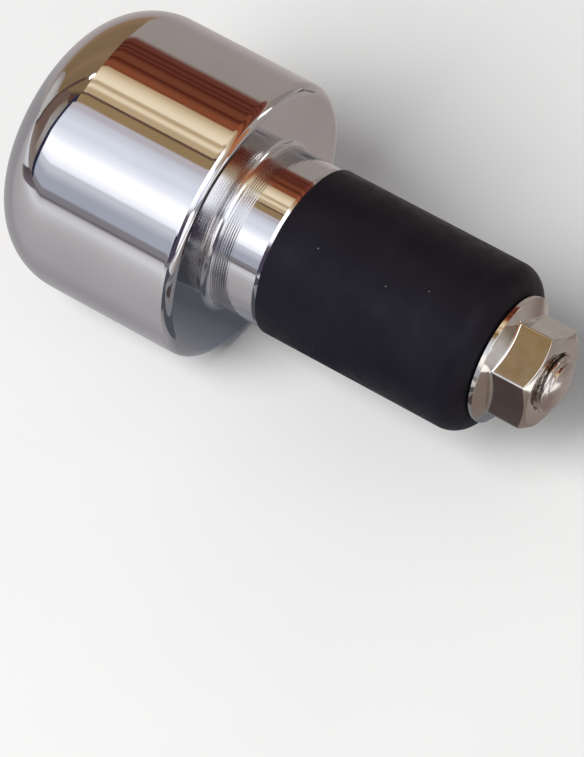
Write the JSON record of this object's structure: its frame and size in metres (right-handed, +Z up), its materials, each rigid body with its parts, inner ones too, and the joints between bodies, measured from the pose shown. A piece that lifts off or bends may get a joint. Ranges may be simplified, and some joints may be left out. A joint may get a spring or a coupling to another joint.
{
  "type": "bar end weight",
  "caption": "Domed chrome bar end weight with a rubber expander sleeve: a socket screw draws a flange nut in, so the sleeve swells and grips a hollow handlebar.",
  "frame": {"origin": "centre of the weight's flat shoulder, where the end of the handlebar tube meets it", "axes": "+X along the turned axis, from the domed end into the handlebar; +Z up with the bar level"},
  "size_m": [0.0614, 0.031, 0.031],
  "materials": {
    "chrome_plate": "mirror polished chrome plate on turned steel",
    "sleeve_rubber": "matt moulded black rubber",
    "stainless_steel": "plain stainless steel, lightly dulled",
    "plated_steel": "bright plated steel"
  },
  "bodies": {
    "weight": {"weight": "chrome_plate", "expander_sleeve": "sleeve_rubber"},
    "screw": {"socket_screw": "stainless_steel"},
    "nut": {"flange_nut": "plated_steel"}
  },
  "joints": [
    {"name": "screw_turn", "type": "hinge", "parent": "weight", "child": "screw", "pos_m": [-0.0176, 0, 0], "axis": [1, 0, 0], "range_deg": [0, 1080]},
    {"name": "nut_draw", "type": "slide", "parent": "weight", "child": "nut", "axis": [-1, 0, 0], "range_m": [0, 0.003], "deforming": ["expander_sleeve"]}
  ],
  "couplings": [
    {"joint": "nut_draw", "follows": "screw_turn", "m_per_rad": 0.00015915}
  ]
}
